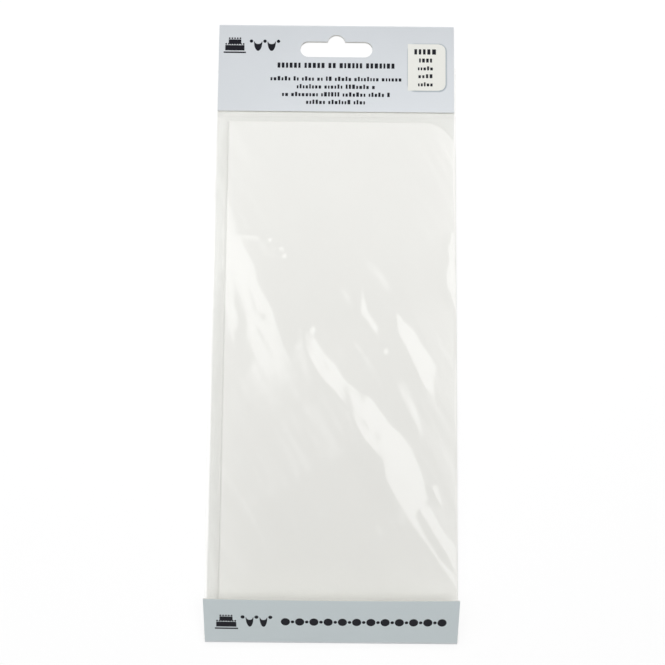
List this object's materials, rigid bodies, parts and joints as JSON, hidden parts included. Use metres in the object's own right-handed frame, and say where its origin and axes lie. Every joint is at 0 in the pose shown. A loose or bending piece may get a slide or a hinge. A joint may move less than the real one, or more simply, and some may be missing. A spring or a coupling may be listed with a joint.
{
  "type": "icing smoother",
  "caption": "Flat cake icing smoother with a long bevelled working edge, held in a clear film bag on a folded card with a hang slot, a hinged header flap and a hinged foot flap.",
  "frame": {"origin": "on the underside of the card's back panel, below the middle of the whole pack", "axes": "+X across the pack to the blade's rounded side, +Y up the pack to the header, +Z out of the front"},
  "size_m": [0.1216, 0.3068, 0.0161],
  "materials": {
    "card_board": "satin white inside, pale blue-grey print outside",
    "card_print": "satin, printed pale blue-grey",
    "film": "clear and glossy, softly wrinkled",
    "tape": "clear double-sided tape",
    "blade": "satin off-white moulded plastic"
  },
  "bodies": {
    "pack": {"card_back_panel": "card_board", "bag_back_film": "film", "bag_front_film": "film", "bag_left_weld": "film", "bag_right_weld": "film", "bag_tape": "tape"},
    "header": {"header_flap": "card_print", "header_tape": "tape"},
    "foot": {"foot_flap": "card_print"},
    "blade": {"smoother_blade": "blade"}
  },
  "joints": [
    {"name": "header_fold", "type": "hinge", "parent": "pack", "child": "header", "pos_m": [0, 0.15271, 0.00136], "axis": [-1, 0, 0], "range_deg": [0, 180]},
    {"name": "foot_fold", "type": "hinge", "parent": "pack", "child": "foot", "pos_m": [0, -0.15259, 0.00366], "axis": [1, 0, 0], "range_deg": [-30, 149]},
    {"name": "blade_slide", "type": "slide", "parent": "pack", "child": "blade", "axis": [0, 1, 0], "range_m": [-0.0006, 0.0024]}
  ]
}
